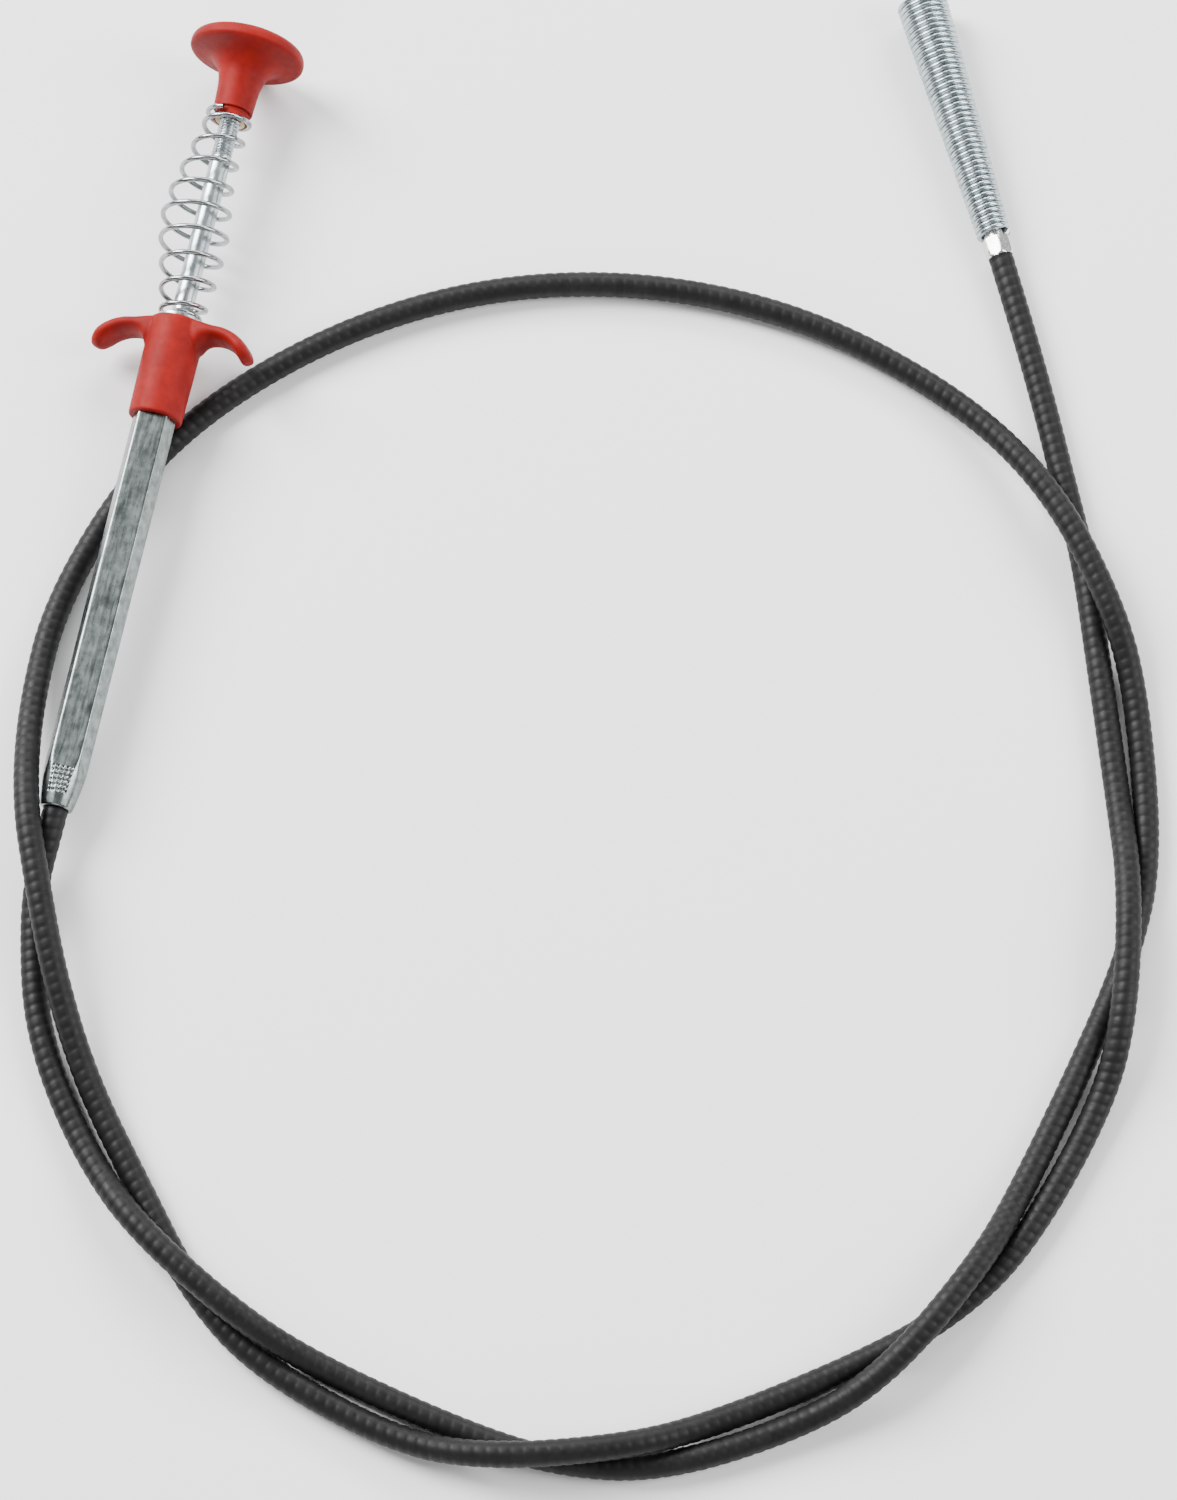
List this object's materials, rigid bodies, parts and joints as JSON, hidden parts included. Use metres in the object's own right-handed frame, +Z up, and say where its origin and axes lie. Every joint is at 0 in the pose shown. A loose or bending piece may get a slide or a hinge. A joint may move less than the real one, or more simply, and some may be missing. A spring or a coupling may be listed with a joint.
{
  "type": "drain auger",
  "caption": "Hand drain auger: spring-loaded plunger handle with a mushroom knob and finger wings, a long flexible cable and a coiled head whose claws open when the knob is pushed.",
  "frame": {"origin": "under the middle of the handle, on the floor it lies on", "axes": "+Y along the handle from its guide tube towards the knob, +Z up, +X to the right seen from above with the knob away from the viewer; the cable's loop and the claw head lie on the +X side"},
  "size_m": [0.271, 0.3772, 0.028],
  "materials": {
    "zinc_tube": "satin",
    "red_plastic": "gloss",
    "dark_bush": "matte",
    "bright_steel": "polished",
    "spring_nickel": "polished",
    "brass_insert": "satin",
    "aluminium_crimp": "satin",
    "black_jacket": "satin",
    "liner_steel": "satin",
    "wire_steel": "satin",
    "ferrule_nickel": "satin",
    "claw_steel": "satin"
  },
  "bodies": {
    "handle": {"guide_tube": "zinc_tube", "finger_grip": "red_plastic", "guide_bush": "dark_bush", "spring_washer": "bright_steel", "return_spring": "spring_nickel", "cable_jacket": "black_jacket", "cable_liner": "liner_steel", "core_wire": "wire_steel", "head_ferrule": "ferrule_nickel", "claw_coil": "spring_nickel"},
    "plunger": {"plunger_knob": "red_plastic", "knob_insert": "brass_insert", "plunger_rod": "bright_steel", "rod_stop": "bright_steel", "wire_crimp": "aluminium_crimp", "plunger_wire": "wire_steel"},
    "claw_set": {"claw_carrier": "brass_insert", "head_wire": "wire_steel"},
    "claw_arm_1": {"claw_1": "claw_steel"},
    "claw_arm_2": {"claw_2": "claw_steel"},
    "claw_arm_3": {"claw_3": "claw_steel"},
    "claw_arm_4": {"claw_4": "claw_steel"}
  },
  "joints": [
    {"name": "plunger_slide", "type": "slide", "parent": "handle", "child": "plunger", "axis": [0, -0.9997, -0.0262], "range_m": [0, 0.0185], "stiffness_N_per_m": 280, "springref_m": -0.02, "deforming": ["return_spring"]},
    {"name": "claw_slide", "type": "slide", "parent": "handle", "child": "claw_set", "axis": [-0.4475, 0.8936, 0.0342], "range_m": [0, 0.0185]},
    {"name": "claw_1_open", "type": "hinge", "parent": "claw_set", "child": "claw_arm_1", "pos_m": [0.16594, 0.13065, 0.00615], "axis": [0.3867, 0.2279, -0.8936], "range_deg": [0, 38]},
    {"name": "claw_2_open", "type": "hinge", "parent": "claw_set", "child": "claw_arm_2", "pos_m": [0.16552, 0.13049, 0.0048], "axis": [-0.8063, -0.3867, -0.4475], "range_deg": [0, 38]},
    {"name": "claw_3_open", "type": "hinge", "parent": "claw_set", "child": "claw_arm_3", "pos_m": [0.16432, 0.12988, 0.00525], "axis": [-0.3867, -0.2279, 0.8936], "range_deg": [0, 38]},
    {"name": "claw_4_open", "type": "hinge", "parent": "claw_set", "child": "claw_arm_4", "pos_m": [0.16475, 0.13004, 0.00659], "axis": [0.8063, 0.3867, 0.4475], "range_deg": [0, 38]}
  ],
  "couplings": [
    {"joint": "claw_slide", "follows": "plunger_slide", "ratio": 1},
    {"joint": "claw_1_open", "follows": "plunger_slide", "rad_per_m": 35.85},
    {"joint": "claw_2_open", "follows": "plunger_slide", "rad_per_m": 35.85},
    {"joint": "claw_3_open", "follows": "plunger_slide", "rad_per_m": 35.85},
    {"joint": "claw_4_open", "follows": "plunger_slide", "rad_per_m": 35.85}
  ]
}
